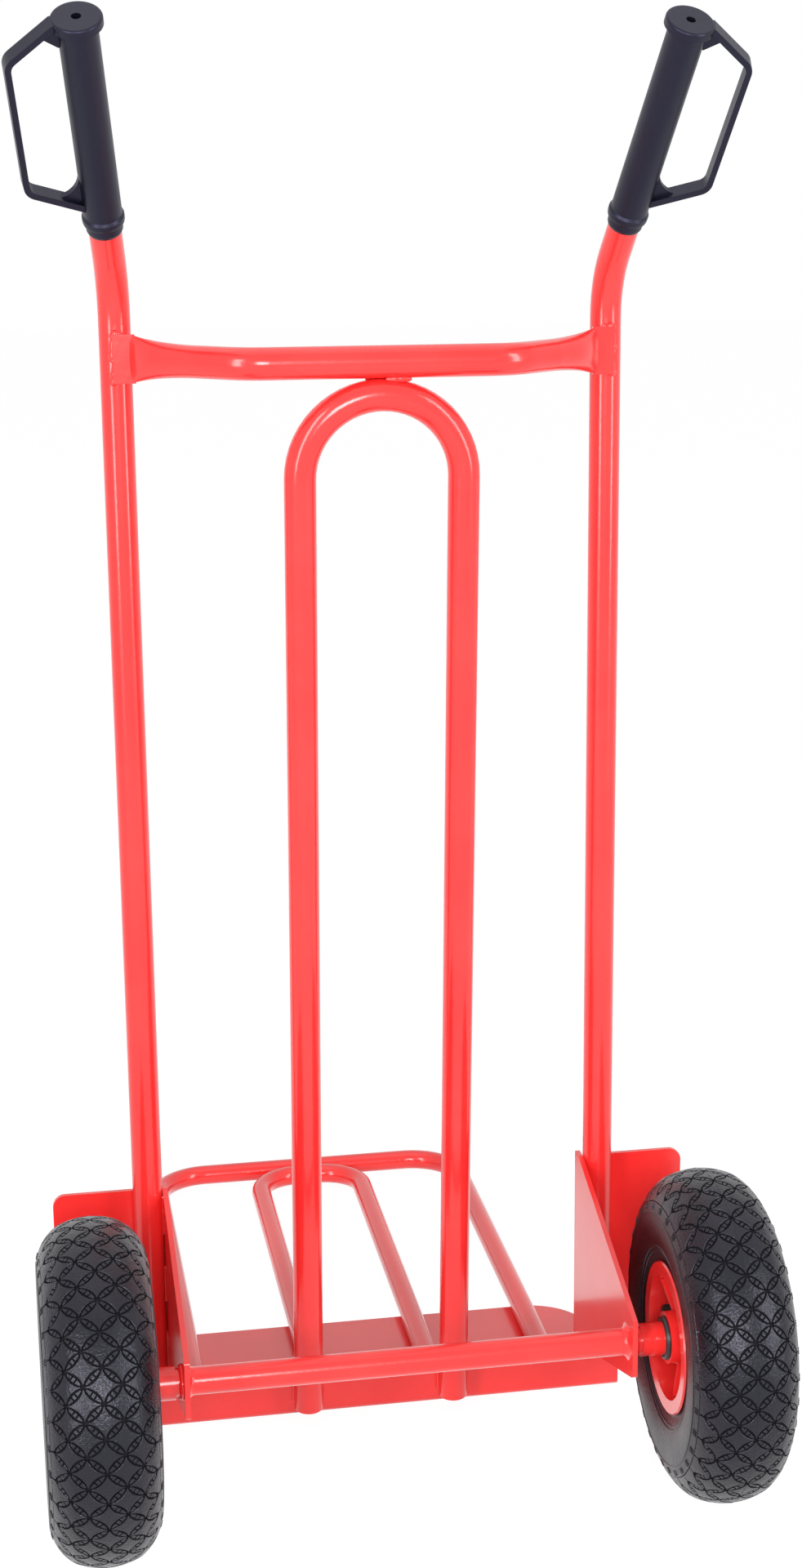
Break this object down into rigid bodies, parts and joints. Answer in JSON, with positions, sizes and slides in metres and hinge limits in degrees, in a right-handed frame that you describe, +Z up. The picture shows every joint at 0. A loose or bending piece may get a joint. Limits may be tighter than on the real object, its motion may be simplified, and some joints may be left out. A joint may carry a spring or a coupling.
{
  "type": "hand truck",
  "caption": "Two-wheeled hand truck: welded tube frame, bowed crossbar, centre loop, toe plate with a folding tube extension, pneumatic wheels and guarded grips",
  "frame": {"origin": "middle of the toe plate's underside, on the floor", "axes": "+X to the right seen from behind the handles, +Y forward over the toe plate, +Z up"},
  "size_m": [0.5618, 0.8148, 1.1324],
  "materials": {
    "red_paint": "gloss powder coat",
    "zinc": "zinc plated",
    "grip_plastic": "satin moulded plastic",
    "tyre": "moulded rubber",
    "tube_rubber": "matte",
    "bearing_steel": "ground",
    "cap_plastic": "moulded"
  },
  "bodies": {
    "frame": {"left_upright": "red_paint", "right_upright": "red_paint", "top_crossbar": "red_paint", "centre_loop": "red_paint", "toe_plate": "red_paint", "left_gusset": "red_paint", "right_gusset": "red_paint", "cross_tube": "red_paint", "left_wheel_guard": "red_paint", "right_wheel_guard": "red_paint", "left_spacer": "red_paint", "right_spacer": "red_paint", "weld_beads": "red_paint", "left_hinge_ear": "red_paint", "right_hinge_ear": "red_paint", "hinge_rod": "zinc", "hinge_rod_clip": "zinc", "axle_rod": "zinc", "axle_washers": "zinc", "axle_split_pins": "zinc", "left_grip": "grip_plastic", "right_grip": "grip_plastic"},
    "toe_extension": {"outer_toe_loop": "red_paint", "inner_toe_loop": "red_paint", "hinge_tube": "red_paint"},
    "left_wheel": {"left_tyre": "tyre", "left_inner_tube": "tube_rubber", "left_rim": "red_paint", "left_hub": "red_paint", "left_inner_bearing": "bearing_steel", "left_outer_bearing": "bearing_steel", "left_valve_stem": "tube_rubber", "left_valve_cap": "cap_plastic"},
    "right_wheel": {"right_tyre": "tyre", "right_inner_tube": "tube_rubber", "right_rim": "red_paint", "right_hub": "red_paint", "right_inner_bearing": "bearing_steel", "right_outer_bearing": "bearing_steel", "right_valve_stem": "tube_rubber", "right_valve_cap": "cap_plastic"}
  },
  "joints": [
    {"name": "toe_fold", "type": "hinge", "parent": "frame", "child": "toe_extension", "pos_m": [0, -0.0677, 0.0139], "axis": [1, 0, 0], "range_deg": [0, 94]},
    {"name": "left_wheel_spin", "type": "hinge", "parent": "frame", "child": "left_wheel", "pos_m": [-0.2394, -0.2625, 0.13], "axis": [1, 0, 0], "continuous": true},
    {"name": "right_wheel_spin", "type": "hinge", "parent": "frame", "child": "right_wheel", "pos_m": [0.2394, -0.2625, 0.13], "axis": [1, 0, 0], "continuous": true}
  ]
}
